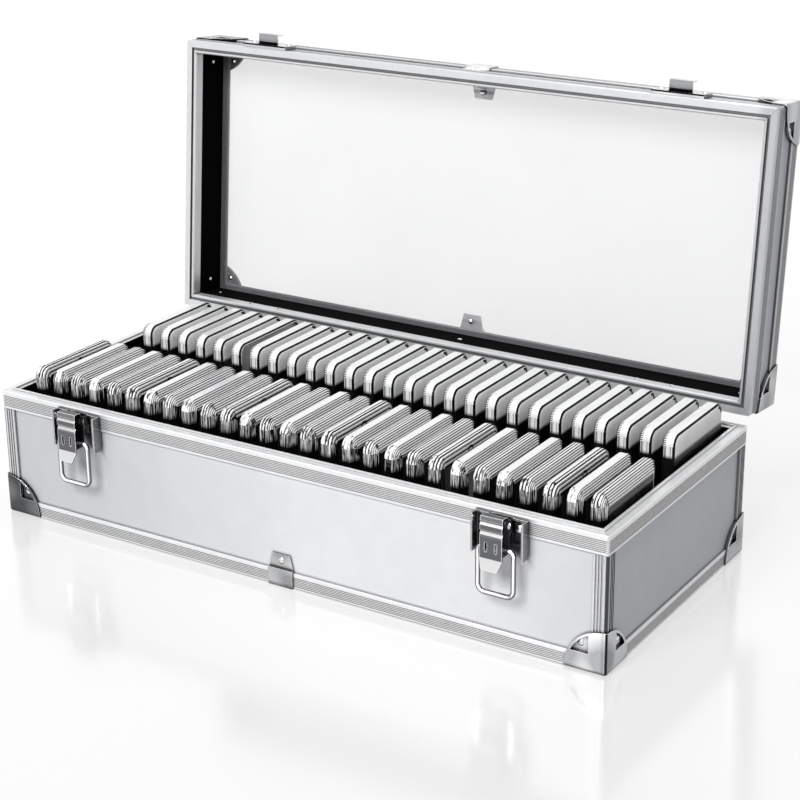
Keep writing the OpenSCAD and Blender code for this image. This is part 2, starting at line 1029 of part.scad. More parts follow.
module at_lever(side) {
    translate([side * latch_x, -half_w - pivot_out, pivot_z])
    children();
}

module left_lever() {
    color("lightgray")
    at_lever(-1)
    lever();
}

module right_lever() {
    color("lightgray")
    at_lever(1)
    lever();
}

// a wire bail that hangs from its pivot, with its ends turned in through the lever
module bail() {
    bend = 4;
    crook = 3;
    reach = bail_w / 2;
    end = lever_w / 2 - 2.2;
    mirrored_x() {
        translate([reach, 0, bend - bail_len])
        cylinder(h = bail_len - bend - crook, r = wire_r);
        translate([end, 0, 0])
        rotate([0, 90, 0])
        cylinder(h = reach - crook - end, r = wire_r);
        translate([reach - crook, 0, -crook])
        rotate([90, 0, 0])
        rotate_extrude(angle = 90)
        translate([crook, 0])
        circle(wire_r);
        translate([reach - bend, 0, bend - bail_len])
        rotate([90, 0, 0])
        rotate([0, 0, -90])
        rotate_extrude(angle = 90)
        translate([bend, 0])
        circle(wire_r);
    }
    translate([bend - reach, 0, -bail_len])
    rotate([0, 90, 0])
    cylinder(h = bail_w - 2 * bend, r = wire_r);
}

module at_bail(side) {
    translate([side * latch_x, -half_w - bail_out, bail_z])
    children();
}

module left_bail() {
    color("silver")
    at_bail(-1)
    bail();
}

module right_bail() {
    color("silver")
    at_bail(1)
    bail();
}

// Hinges: leaves are drawn in a frame whose X is the hinge's axis and whose leaf goes down

module hinge_leaf(knuckles, gap_knuckles) {
    difference() {
        union() {
            block([-hinge_w / 2, -hinge_out, -leaf_len],
                  [hinge_w / 2, leaf_t - hinge_out, -leaf_start]);
            for (k = knuckles) {
                block([k[0], -hinge_out, -leaf_start - eps], [k[1], leaf_t - hinge_out, 0]);
                translate([k[0], 0, 0])
                rotate([0, 90, 0])
                cylinder(h = k[1] - k[0], r = knuckle_r);
            }
        }
        rotate([0, 90, 0])
        cylinder(h = 2 * hinge_w, r = hinge_pin_r + pin_gap, center = true);
        for (s = [-1, 1])
        translate([s * hinge_w / 3, 0, leaf_rivet(gap_knuckles)])
        rotate([90, 0, 0])
        cylinder(h = 3 * hinge_out, r = rivet_hole_r, center = true);
    }
}
// height of a leaf's rivets below the axis, for the base's leaf and the lid's
function leaf_rivet(lid) = lid ? -(hinge_rivet_down + lid_z - hinge_z) : -hinge_rivet_down - hinge_up;

module at_hinges() {
    mirrored_x()
    translate([hinge_x, hinge_y, hinge_z])
    children();
}

module base_hinge_leaves() {
    third = hinge_w / 6;
    color("silver")
    at_hinges()
    hinge_leaf([[-hinge_w / 2, -third], [third, hinge_w / 2]], false);
}

module hinge_pins() {
    color("silver")
    at_hinges()
    rotate([0, 90, 0]) {
        cylinder(h = hinge_w + 0.4, r = hinge_pin_r, center = true);
        mirrored_z()
        translate([0, 0, hinge_w / 2 + 0.2])
        cylinder(h = 0.6, r = knuckle_r - 0.4);
    }
}

module hinge_rivets(z) {
    for (x = [-1, 1])
    for (s = [-1, 1])
    translate([x * hinge_x + s * hinge_w / 3, half_w + leaf_t, z])
    rotate([-90, 0, 0])
    rivet(leaf_t + rim_d, small_head_r, small_head_h, tail_h);
}

module base_hinge_rivets() {
    color("silver")
    hinge_rivets(base_h - hinge_rivet_down);
}

// Lid, drawn shut with its rim at z = 0 and opened with open_lid()

module lid_hinge_leaves() {
    third = hinge_w / 6 - knuckle_gap;
    color("silver")
    open_lid()
    translate([0, 0, hinge_z - lid_z])
    mirrored_x()
    translate([hinge_x, hinge_y, 0])
    mirror([0, 0, 1])
    hinge_leaf([[-third, third]], true);
}

module lid_hinge_rivets() {
    color("silver")
    open_lid()
    hinge_rivets(hinge_rivet_down);
}

module lid_long_panel() {
    block([rail_t - half_l, rail_t - half_w, rim_web_t],
          [half_l - rail_t, panel_d - half_w, lid_wall_top]);
}

module lid_cap_holes() {
    mirrored_x()
    mirrored_y() {
        translate([half_l - cap_rivet_in, -half_w, lid_h - cap_rivet_in])
        rotate([90, 0, 0])
        rivet_hole(lining_d + 1);
        translate([half_l, cap_rivet_in - half_w, lid_h - cap_rivet_in])
        rotate([0, 90, 0])
        rivet_hole(lining_d + 1);
    }
}

module lid_clip_holes() {
    mirrored_y()
    translate([0, -half_w, lid_h - clip_rivet_z(edge_rail_h)])
    rotate([90, 0, 0])
    rivet_hole(lining_d + 1);
}

module catch_holes() {
    for (x = [-1, 1])
    for (s = [-1, 1])
    translate([x * latch_x + s * catch_rivet_x, -half_w, catch_rivet_z])
    rotate([90, 0, 0])
    rivet_hole(rail_t + blind_l);
}

module lid_wall_holes() {
    lid_cap_holes();
    lid_clip_holes();
    catch_holes();
    hinge_holes(hinge_rivet_down);
}

module lid_front_panel() {
    color("gainsboro")
    open_lid()
    difference() {
        lid_long_panel();
        lid_wall_holes();
    }
}

module lid_rear_panel() {
    color("gainsboro")
    open_lid()
    difference() {
        mirror([0, 1, 0])
        lid_long_panel();
        lid_wall_holes();
    }
}

module lid_end_panel() {
    difference() {
        block([half_l - panel_d, panel_d - half_w, rim_web_t],
              [half_l - rail_t, half_w - panel_d, lid_wall_top]);
        lid_cap_holes();
    }
}

module lid_left_panel() {
    color("gainsboro")
    open_lid()
    mirror([1, 0, 0])
    lid_end_panel();
}

module lid_right_panel() {
    color("gainsboro")
    open_lid()
    lid_end_panel();
}

// the lid's rim rail has a groove that takes the tongue of the base
function lid_rim_profile() = concat(
    [[rail_t, rim_rail_h], [rail_t, rim_web_t], [panel_d, rim_web_t],
     [panel_d, inner_leg_h], [rim_d, inner_leg_h], [rim_d, chamfer], [rim_d - chamfer, 0],
     [tongue_d + groove_w / 2, 0], [tongue_d + groove_w / 2, groove_h],
     [tongue_d - groove_w / 2, groove_h], [tongue_d - groove_w / 2, 0],
     [chamfer, 0], [0, chamfer]],
    flip(ribs(edge_band - rim_rail_h, rim_ribs)),
    [[0, rim_rail_h - 0.3], [0.3, rim_rail_h]]
);

module lid_rim_rails() {
    color("whitesmoke")
    open_lid()
    difference() {
        all_sides(lid_rim_profile(), rim_d, 0, rim_rail_h);
        catch_holes();
        hinge_holes(hinge_rivet_down);
    }
}

function lid_top_profile() = concat(
    [[0, lid_h - edge_rail_h + 0.3], [0.3, lid_h - edge_rail_h], [rail_t, lid_h - edge_rail_h],
     [rail_t, lid_h - frame_t], [frame_w, lid_h - frame_t], [frame_w, lid_h - 0.3],
     [frame_w - 0.3, lid_h], [chamfer, lid_h], [0, lid_h - chamfer]],
    down(ribs(lid_h - edge_band - edge_ribs * rib_pitch, edge_ribs))
);

module lid_top_rails() {
    color("silver")
    open_lid()
    all_sides(lid_top_profile(), frame_w, lid_h - edge_rail_h, lid_h);
}

module lid_corner_posts() {
    color("silver")
    open_lid()
    mirrored_x()
    mirrored_y()
    corner_post(rim_rail_h, lid_h - edge_rail_h);
}

module lid_cap() {
    side_x = post_leg + cap_gap;
    side_z = edge_rail_h + cap_gap;
    top = frame_w + cap_gap;
    difference() {
        union() {
            cap_skin();
            mirror([1, 0, -1])
            cap_well(side_z, side_x, rail_t);
            mirror([0, 1, -1])
            cap_well(side_x, side_z, rail_t);
            cap_well(top, top, frame_t);
        }
        mirror([1, 0, -1])
        cap_well_cut(side_z, side_x, rail_t);
        mirror([0, 1, -1])
        cap_well_cut(side_x, side_z, rail_t);
        cap_well_cut(top, top, frame_t);
    }
}

module lid_corner_caps() {
    color("lightgray")
    open_lid()
    mirrored_x()
    mirrored_y()
    translate([-half_l, -half_w, lid_h])
    mirror([0, 0, 1])
    lid_cap();
}

module pane_rivet_places() {
    mirrored_x()
    mirrored_y()
    translate([half_l - cap_rivet_in, half_w - cap_rivet_in, lid_h])
    children();
}

module pane_clip_places() {
    mirrored_y()
    translate([0, clip_rivet_z(frame_w) - half_w, lid_h])
    children();
}

module lid_cap_rivets() {
    color("silver")
    open_lid() {
        side_cap_rivets(lid_h - cap_rivet_in, cap_t + wall_t + lining_t, tail_h);
        pane_rivet_places()
        translate([0, 0, cap_t - frame_t])
        rivet(cap_t + pane_t, small_head_r, small_head_h, tail_h);
    }
}

module lid_edge_clips() {
    color("lightgray")
    open_lid()
    mirrored_y()
    translate([0, -half_w, lid_h]) {
        mirror([0, 0, 1])
        clip_leg(edge_rail_h, rail_t, clip_tab);
        block([-clip_w / 2, -cap_t, 0], [clip_w / 2, 0, cap_t]);
        mirror([0, 1, -1])
        mirror([0, 1, 0])
        clip_leg(frame_w, frame_t, clip_tab);
    }
}

module lid_clip_rivets() {
    color("silver")
    open_lid() {
        mirrored_y()
        translate([0, rail_t - cap_t - half_w, lid_h - clip_rivet_z(edge_rail_h)])
        rotate([90, 0, 0])
        rivet(cap_t + wall_t + lining_t, small_head_r, small_head_h, tail_h);
        pane_clip_places()
        translate([0, 0, cap_t - frame_t])
        rivet(cap_t + pane_t, small_head_r, small_head_h, tail_h);
    }
}

module window_pane() {
    color([0.85, 0.9, 0.92, 0.35])
    open_lid()
    difference() {
        block([rail_t + pane_gap - half_l, rail_t + pane_gap - half_w, lid_h - frame_t - pane_t],
              [half_l - rail_t - pane_gap, half_w - rail_t - pane_gap, lid_h - frame_t]);
        pane_rivet_places()
        rivet_hole(4 * pane_t);
        pane_clip_places()
        rivet_hole(4 * pane_t);
    }
}

// four strips that seat the pane on the walls
module window_gasket() {
    edge = rail_t + pane_gap;
    color("dimgray")
    open_lid()
    translate([0, 0, lid_wall_top]) {
        mirrored_y()
        block([edge - half_l, edge - half_w, 0], [half_l - edge, gasket_w - half_w, gasket_t]);
        mirrored_x()
        block([half_l - gasket_w, gasket_w - half_w + joint, 0],
              [half_l - edge, half_w - gasket_w - joint, gasket_t]);
    }
}

module lid_lining() {
    color("black")
    open_lid()
    difference() {
        lining_sheets(inner_leg_h, lid_wall_top);
        lid_cap_holes();
        lid_clip_holes();
    }
}

// a shallow tray, hollow behind, with a slot and the hook that is bent up out of it
module catch_plate() {
    low = chamfer + latch_t;
    difference() {
        union() {
            block([-catch_w / 2, -catch_up, chamfer], [catch_w / 2, 0, catch_top]);
            block([-hook_w / 2, -hook_out, hook_root],
                  [hook_w / 2, -catch_up + latch_t / 2, hook_root + latch_t]);
            block([-hook_w / 2, -hook_out, hook_root],
                  [hook_w / 2, latch_t - hook_out, hook_root + latch_t + hook_rise]);
        }
        block([latch_t - catch_w / 2, latch_t - catch_up, low],
              [catch_w / 2 - latch_t, 1, catch_top - latch_t]);
        block([-hook_w / 2, -catch_up - 1, low + 0.2], [hook_w / 2, 1, hook_root]);
        for (s = [-1, 1])
        translate([s * catch_rivet_x, 0, catch_rivet_z])
        rotate([90, 0, 0])
        cylinder(h = 3 * catch_up, r = rivet_hole_r, center = true);
    }
}

module catch_plates() {
    color("lightgray")
    open_lid()
    at_latches()
    catch_plate();
}

module catch_rivets() {
    color("silver")
    open_lid()
    at_latches()
    for (s = [-1, 1])
    translate([s * catch_rivet_x, -catch_up, catch_rivet_z])
    rotate([90, 0, 0])
    rivet(catch_up + rail_t + shank_in, 2.1, 0.9);
}

floor_board();
front_panel();
rear_panel();
left_panel();
right_panel();
front_rim_rail();
rear_rim_rail();
left_rim_rail();
right_rim_rail();
front_bottom_rail();
rear_bottom_rail();
left_bottom_rail();
right_bottom_rail();
base_corner_posts();
base_corner_caps();
base_cap_rivets();
base_edge_clips();
base_clip_rivets();
base_lining();
floor_pad();
row_divider();
front_foam_ribs();
rear_foam_ribs();
front_slabs();
rear_slabs();
latch_plates();
latch_pins();
latch_rivets();
base_hinge_leaves();
hinge_pins();
base_hinge_rivets();
left_lever();
right_lever();
left_bail();
right_bail();
lid_front_panel();
lid_rear_panel();
lid_left_panel();
lid_right_panel();
lid_rim_rails();
lid_top_rails();
lid_corner_posts();
lid_corner_caps();
lid_cap_rivets();
lid_edge_clips();
lid_clip_rivets();
window_pane();
window_gasket();
lid_lining();
catch_plates();
catch_rivets();
lid_hinge_leaves();
lid_hinge_rivets();
front_lift_shells();
front_lift_insert();
front_lift_coin();
rear_lift_shells();
rear_lift_insert();
rear_lift_coin();
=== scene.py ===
import json
import math

import bmesh
import bpy
from mathutils import Matrix, Vector


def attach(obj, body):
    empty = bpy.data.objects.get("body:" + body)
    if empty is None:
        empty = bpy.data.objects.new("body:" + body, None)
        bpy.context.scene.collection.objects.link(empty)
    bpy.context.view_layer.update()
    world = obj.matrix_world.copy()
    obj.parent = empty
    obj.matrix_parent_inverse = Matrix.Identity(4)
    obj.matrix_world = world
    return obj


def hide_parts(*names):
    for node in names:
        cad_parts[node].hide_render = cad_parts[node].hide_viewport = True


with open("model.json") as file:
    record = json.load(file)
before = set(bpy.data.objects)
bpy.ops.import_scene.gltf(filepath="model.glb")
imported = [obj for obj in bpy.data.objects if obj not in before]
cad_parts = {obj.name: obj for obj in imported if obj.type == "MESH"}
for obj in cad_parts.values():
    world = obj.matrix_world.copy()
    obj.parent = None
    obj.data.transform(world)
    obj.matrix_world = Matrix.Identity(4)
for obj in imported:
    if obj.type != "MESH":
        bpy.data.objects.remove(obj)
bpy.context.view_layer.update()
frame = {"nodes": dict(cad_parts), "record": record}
NODES = frame["nodes"]
MM = 0.001

# Camera: where it stands, the point it looks at, its roll and its focal length
CAMERA_AT = (0.5848, -0.8858, 0.4869)
CAMERA_TARGET = (-0.0413, 0.1038, 0.0399)
CAMERA_ROLL = -0.541
CAMERA_LENS = 88.878

# Sizes repeated from the part's source, in millimetres; LEAST_R, how round an inset corner stays, is
# this script's own
SLOT_PITCH = 13.6
SLOTS = 28
SLAB_T = 7.6
SLAB_R = 6.0
LEAST_R = 0.4
PAD_TOP = 6.5
ROW_SHIFT = 2.5
FRONT_ROW = dict(y=-40.9, w=64.0, h=84.0, lift=21, first=0)
REAR_ROW = dict(y=41.75, w=62.5, h=88.0, lift=6, first=1)
HALF_T = SLAB_T / 2

# The same in metres: the box inside the rim, the case's half length, and the hooks' heights at rest
INNER_X = 0.19245
INNER_Y = 0.07895
HALF_L = 0.2
CATCH_TRAY_Z = 0.2554
CATCH_GAP_Z = 0.2573
# From the first to the second height the slabs come out of the shade of the foam
SHADE_OF_FOAM = (0.0815, 0.0835)
STREAK_SHADE = (0.077, 0.0795)
STREAK_FADE = (0.07, 0.087)

DEEP_SHADE_BLACK = (0.004, 0.004, 0.005)
CREASE_SHADE_BLACK = (0.008, 0.008, 0.009)
WHITE = (1.0, 1.0, 1.0)


# Shader helpers


def new_material(name):
    m = bpy.data.materials.new(name)
    m.use_nodes = True
    return m, m.node_tree.nodes, m.node_tree.links, m.node_tree.nodes["Principled BSDF"]


def node(nodes, kind, **sockets):
    n = nodes.new(kind)
    for key, value in sockets.items():
        name = key.replace("_", " ")
        if name in n.inputs:
            n.inputs[name].default_value = value
        else:
            setattr(n, key, value)
    return n


def coords(nodes, links, scale=(1, 1, 1)):
    """Object coordinates, which are the case's own at rest."""
    tc = nodes.new("ShaderNodeTexCoord")
    mp = nodes.new("ShaderNodeMapping")
    mp.inputs["Scale"].default_value = scale
    links.new(tc.outputs["Object"], mp.inputs["Vector"])
    return mp.outputs["Vector"]


def noise(nodes, links, scale, stretch=(1, 1, 1), detail=3.0, rough=0.5):
    n = node(nodes, "ShaderNodeTexNoise", Scale=scale, Detail=detail, Roughness=rough)
    links.new(coords(nodes, links, stretch), n.inputs["Vector"])
    return n.outputs["Fac"]


def ramp(nodes, links, value, stops):
    r = nodes.new("ShaderNodeValToRGB")
    e = r.color_ramp.elements
    while len(e) < len(stops):
        e.new(0.5)
    for item, (at, colour) in zip(e, stops):
        item.position = at
        item.color = (*colour, 1.0)
    links.new(value, r.inputs["Fac"])
    return r.outputs["Color"]


def map_range(nodes, links, value, **limits):
    """A value carried from one range to another, as From_Min, From_Max, To_Min and To_Max."""
    r = node(nodes, "ShaderNodeMapRange", **limits)
    links.new(value, r.inputs["Value"])
    return r.outputs["Result"]


def spread(nodes, links, value, low, high):
    return map_range(nodes, links, value, To_Min=low, To_Max=high)


def bump(nodes, links, height, distance, strength=1.0, rounded=0.0):
    b = node(nodes, "ShaderNodeBump", Strength=strength, Distance=distance)
    links.new(height, b.inputs["Height"])
    if rounded:
        v = nodes.new("ShaderNodeBevel")
        v.samples = 4
        v.inputs["Radius"].default_value = rounded
        links.new(v.outputs["Normal"], b.inputs["Normal"])
    return b.outputs["Normal"]


def math_node(nodes, links, operation, a, b):
    n = nodes.new("ShaderNodeMath")
    n.operation = operation
    for socket, value in zip(n.inputs, (a, b)):
        if isinstance(value, (int, float)):
            socket.default_value = value
        else:
            links.new(value, socket)
    return n.outputs["Value"]


def mix_colour(nodes, links, fac, a, b, blend="MIX"):
    n = node(nodes, "ShaderNodeMix", data_type="RGBA", blend_type=blend)
    for socket, value in zip((n.inputs[0], n.inputs[6], n.inputs[7]), (fac, a, b)):
        if isinstance(value, (int, float)):
            socket.default_value = value
        elif isinstance(value, tuple):
            socket.default_value = (*value, 1.0)
        else:
            links.new(value, socket)
    return n.outputs[2]


def edge_highlight_mask(nodes, links, radius):
    """1 where the surface turns a corner, 0 on the flat, for painting highlights along edges."""
    bevel = nodes.new("ShaderNodeBevel")
    bevel.samples = 4
    bevel.inputs["Radius"].default_value = radius
    flat = nodes.new("ShaderNodeNewGeometry")
    dot = nodes.new("ShaderNodeVectorMath")
    dot.operation = "DOT_PRODUCT"
    links.new(bevel.outputs["Normal"], dot.inputs[0])
    links.new(flat.outputs["Normal"], dot.inputs[1])
    return map_range(nodes, links, dot.outputs["Value"], From_Min=0.995, From_Max=0.86)


def painted_shade_mask(nodes, links, distance, dark, power=1.0):
    """1 on open surface, falling to dark down in creases and pockets, for painting shade there."""
    ao = nodes.new("ShaderNodeAmbientOcclusion")
    ao.samples = 6
    ao.inputs["Distance"].default_value = distance
    value = ao.outputs["AO"]
    if power != 1.0:
        value = math_node(nodes, links, "POWER", value, power)
    return spread(nodes, links, value, dark, 1.0)


def axis(nodes, links, letter):
    """One object coordinate."""
    parts = nodes.new("ShaderNodeSeparateXYZ")
    links.new(coords(nodes, links), parts.inputs["Vector"])
    return parts.outputs[letter]


def facing(nodes, links, direction):
    """How far the surface faces a fixed direction of the object itself, 0..1."""
    tc = nodes.new("ShaderNodeTexCoord")
    dot = nodes.new("ShaderNodeVectorMath")
    dot.operation = "DOT_PRODUCT"
    links.new(tc.outputs["Normal"], dot.inputs[0])
    dot.inputs[1].default_value = Vector(direction).normalized()
    return dot.outputs["Value"]


def inside_mask(nodes, links):
    """1 on the faces of a rim rail that look into the box."""
    inside = []
    for letter, limit in (("X", INNER_X), ("Y", INNER_Y)):
        away = math_node(nodes, links, "ABSOLUTE", axis(nodes, links, letter), 0)
        inside.append(math_node(nodes, links, "LESS_THAN", away, limit))
    return math_node(nodes, links, "MULTIPLY", *inside)


def along_x(nodes, links, colour, stops):
    """The colour times a slow change of tone along the case, as (x in metres, tone)."""
    along = map_range(nodes, links, axis(nodes, links, "X"), From_Min=-HALF_L, From_Max=HALF_L)
    tone = ramp(nodes, links, along, [((x + HALF_L) / (2 * HALF_L), shade) for x, shade in stops])
    return mix_colour(nodes, links, 1.0, colour, tone, "MULTIPLY")


def upright_edge_mask(nodes, links, start, full):
    """1 on the rounded upright corner of a post, 0 on its flat sides."""
    tc = nodes.new("ShaderNodeTexCoord")
    parts = nodes.new("ShaderNodeSeparateXYZ")
    links.new(tc.outputs["Normal"], parts.inputs["Vector"])
    product = math_node(nodes, links, "MULTIPLY", parts.outputs["X"], parts.outputs["Y"])
    turned = math_node(nodes, links, "ABSOLUTE", product, 0)
    return map_range(nodes, links, turned, From_Min=start, From_Max=full)


# Materials


def metal(
    name, low, high, rough, stretch=(1, 1, 1), rounded=0.0002, metallic=1.0, grain=0.00002,
    edge=None, crease_shade=None, cloud_scale=22.0, cloud_detail=3.0, share=0.5, paint=None,
):
    """Rolled, pressed or plated metal: grain and cloudy gloss, painted highlights along edges, painted
    shade in creases.

    rough is the roughness of the bright and of the dull places, share how much of the tone is grain and
    not cloud, edge (radius, colour) the painted highlight along edges and crease (reach, darkest, power)
    the painted shade in creases. paint, if given, takes the tree and the colour so far and returns the
    colour to use."""
    m, nodes, links, bsdf = new_material(name)
    grain_fac = noise(nodes, links, 900.0, stretch, 4.0, 0.6)
    cloud = noise(nodes, links, cloud_scale, (1, 1, 1), cloud_detail)
    fine = math_node(nodes, links, "MULTIPLY", grain_fac, share)
    mix = math_node(nodes, links, "ADD", fine, math_node(nodes, links, "MULTIPLY", cloud, 1.0 - share))
    colour = ramp(nodes, links, mix, [(0.35, low), (0.65, high)])
    if paint:
        colour = paint(nodes, links, colour)
    # Painted highlight: a bright colour laid along the edges
    if edge:
        colour = mix_colour(nodes, links, edge_highlight_mask(nodes, links, edge[0]), colour, edge[1])
    # Painted shade: the colour darkened towards black in creases and pockets
    if crease_shade:
        shade = painted_shade_mask(nodes, links, *crease_shade)
        colour = mix_colour(nodes, links, shade, CREASE_SHADE_BLACK, colour)
    links.new(colour, bsdf.inputs["Base Color"])
    links.new(spread(nodes, links, mix, rough[1], rough[0]), bsdf.inputs["Roughness"])
    bsdf.inputs["Metallic"].default_value = metallic
    links.new(bump(nodes, links, grain_fac, grain, 0.6, rounded), bsdf.inputs["Normal"])
    return m


def paint_rim_shade(nodes, links, colour):
    """Painted shade: the rail's inner leg, which looks into the box, painted black like the lining behind
    it.
    """
    return mix_colour(nodes, links, inside_mask(nodes, links), colour, DEEP_SHADE_BLACK)


def paint_board_sheen(nodes, links, colour):
    """Satin facing with a painted sheen: a broad, soft band of painted light that is strongest right of
    the middle.
    """
    return along_x(nodes, links, colour, [
        (-0.2, (0.72, 0.73, 0.745)), (-0.1, (0.8, 0.81, 0.82)), (0.02, WHITE), (0.12, WHITE),
        (0.19, (0.86, 0.865, 0.88)), (0.197, (0.82, 0.84, 0.88)),
    ])


def paint_post_shade(nodes, links, colour):
    """Duller than the rails, with painted shade most of all on the right side and a painted dark line of
    shade down the corner.
    """
    colour = along_x(nodes, links, colour, [
        (0.19, (0.8, 0.805, 0.815)), (0.198, (0.74, 0.745, 0.76)), (0.1992, (0.5, 0.505, 0.52)),
    ])
    corner = upright_edge_mask(nodes, links, 0.12, 0.34)
    return mix_colour(nodes, links, corner, colour, (0.05, 0.052, 0.056))


def paint_cap_reflection(nodes, links, colour):
    """Painted reflection: a bright plate, painted darker at the left and on the right side, with a painted
    dark line down the bend.
    """
    colour = along_x(nodes, links, colour, [
        (-0.17, (0.2, 0.205, 0.21)), (0.0, (0.8, 0.8, 0.8)), (0.17, WHITE), (0.197, WHITE),
        (0.2, (0.45, 0.455, 0.47)),
    ])
    bend = upright_edge_mask(nodes, links, 0.3, 0.42)
    return mix_colour(nodes, links, bend, colour, (0.02, 0.02, 0.022))


def paint_lid_rail_shade(nodes, links, colour):
    """The lid's frame, with painted shade that makes its right stile duller."""
    return along_x(nodes, links, colour, [(0.187, (0.8, 0.805, 0.81)), (0.193, (0.58, 0.585, 0.6))])


def paint_catch_gap_shadow(nodes, links, colour):
    """The hook's front is grey, over a painted shadow, near black, in the gap where the bail goes in."""
    front = math_node(nodes, links, "GREATER_THAN", facing(nodes, links, (0.0, -1.0, 0.0)), 0.7)
    height = axis(nodes, links, "Z")
    above_tray = math_node(nodes, links, "GREATER_THAN", height, CATCH_TRAY_Z)
    in_gap = math_node(nodes, links, "LESS_THAN", height, CATCH_GAP_Z)
    hook = math_node(nodes, links, "MULTIPLY", front, above_tray)
    gap = math_node(nodes, links, "MULTIPLY", hook, in_gap)
    colour = mix_colour(nodes, links, hook, colour, (0.34, 0.345, 0.36))
    return mix_colour(nodes, links, gap, colour, (0.01, 0.01, 0.011))


def paint_wire_reflection(nodes, links, colour):
    """Round bright wire with a painted reflection: a painted light middle between flanks in painted shade.
    """
    side = math_node(nodes, links, "ABSOLUTE", facing(nodes, links, (0.35, -0.8, 0.48)), 0)
    tone = ramp(nodes, links, side, [
        (0.35, (0.02, 0.02, 0.022)), (0.6, (0.07, 0.07, 0.075)), (0.78, (0.22, 0.22, 0.23)),
        (0.85, WHITE),
    ])
    return mix_colour(nodes, links, 0.85, colour, tone)


def paint_lever_light(nodes, links, colour):
    """Pressed face with painted light: slopes that look up are painted bright, upright flats grey,
    undersides in painted shade.
    """
    up = facing(nodes, links, (0.0, -0.75, 0.66))
    tone = ramp(nodes, links, up, [
        (0.3, (0.03, 0.03, 0.035)), (0.7, (0.09, 0.094, 0.1)), (0.9, (0.17, 0.175, 0.185)),
        (0.94, (0.95, 0.95, 0.95)),
    ])
    return mix_colour(nodes, links, 0.8, colour, tone)


def foam_shade(nodes, links, colour, low, high):
    """Painted shade: darkens what stands below the given heights, down between the foam."""
    where = nodes.new("ShaderNodeNewGeometry")
    parts = nodes.new("ShaderNodeSeparateXYZ")
    links.new(where.outputs["Position"], parts.inputs["Vector"])
    out = map_range(nodes, links, parts.outputs["Z"], From_Min=low, From_Max=high)
    return mix_colour(nodes, links, out, DEEP_SHADE_BLACK, colour)


def plastic(
    name, low, high, rough, scale, depth, stretch=(1, 1, 1), coat=0.0, specular=0.5, glow_depth=0.0,
    deep=None, stops=(0.3, 0.7),
):
    """Moulded plastic or lacquer: a fine mottle of the given scale in its tone, gloss and relief.

    glow_depth is how far light spreads inside, in metres, and deep the heights where foam shades it."""
    m, nodes, links, bsdf = new_material(name)
    fac = noise(nodes, links, scale, stretch, 4.0, 0.6)
    colour = ramp(nodes, links, fac, [(stops[0], low), (stops[1], high)])
    if deep:
        colour = foam_shade(nodes, links, colour, *deep)
    links.new(colour, bsdf.inputs["Base Color"])
    links.new(spread(nodes, links, fac, rough[0], rough[1]), bsdf.inputs["Roughness"])
    links.new(bump(nodes, links, fac, depth, 0.7), bsdf.inputs["Normal"])
    bsdf.inputs["Coat Weight"].default_value = coat
    bsdf.inputs["Specular IOR Level"].default_value = specular
    if glow_depth:
        bsdf.inputs["Subsurface Weight"].default_value = 1.0
        bsdf.inputs["Subsurface Radius"].default_value = (1.0, 1.0, 1.0)
        bsdf.inputs["Subsurface Scale"].default_value = glow_depth
    return m


def foam(name):
    """Black closed-cell foam: small cells, nearly no gloss."""
    m, nodes, links, bsdf = new_material(name)
    cell = node(nodes, "ShaderNodeTexVoronoi", Scale=900.0)
    links.new(coords(nodes, links), cell.inputs["Vector"])
    dist = cell.outputs["Distance"]
    colour = ramp(nodes, links, dist, [(0.0, (0.0015, 0.0015, 0.002)), (0.8, (0.006, 0.006, 0.007))])
    links.new(colour, bsdf.inputs["Base Color"])
    bsdf.inputs["Roughness"].default_value = 0.95
    bsdf.inputs["Specular IOR Level"].default_value = 0.04
    links.new(bump(nodes, links, dist, 0.0003, 0.8), bsdf.inputs["Normal"])
    return m


def clear_plate(name):
    """Clear pane, made see-through by a low alpha."""
    m, nodes, links, bsdf = new_material(name)
    fac = noise(nodes, links, 14.0, (1, 1, 1), 2.0)
    colour = ramp(nodes, links, fac, [(0.3, (0.7, 0.705, 0.72)), (0.7, (0.78, 0.785, 0.795))])
    links.new(colour, bsdf.inputs["Base Color"])
    bsdf.inputs["Roughness"].default_value = 0.03
    bsdf.inputs["Alpha"].default_value = 0.2
    bsdf.inputs["Specular IOR Level"].default_value = 0.35
    links.new(bump(nodes, links, fac, 0.00005, 0.3), bsdf.inputs["Normal"])
    return m


def streaks(name, dark, bright, density, cut):
    """Clear plastic seen edge on: painted bright upright streaks of light on a dark ground, fading
    downwards, with painted shade at the foot.
    """
    m, nodes, links, bsdf = new_material(name)
    fac = noise(nodes, links, density, (1.0, 0.02, 0.018), 3.0, 0.7)
    low, high = STREAK_FADE
    fade = map_range(nodes, links, axis(nodes, links, "Z"), From_Min=low, From_Max=high)
    lit = math_node(nodes, links, "ADD", fac, math_node(nodes, links, "MULTIPLY", fade, 0.09))
    colour = ramp(nodes, links, lit, [
        (cut, dark), (cut + 0.05, bright), (cut + 0.09, dark), (cut + 0.15, dark), (cut + 0.2, bright),
    ])
    colour = foam_shade(nodes, links, colour, *STREAK_SHADE)
    links.new(colour, bsdf.inputs["Base Color"])
    bsdf.inputs["Roughness"].default_value = 0.12
    bsdf.inputs["Coat Weight"].default_value = 0.3
    return m


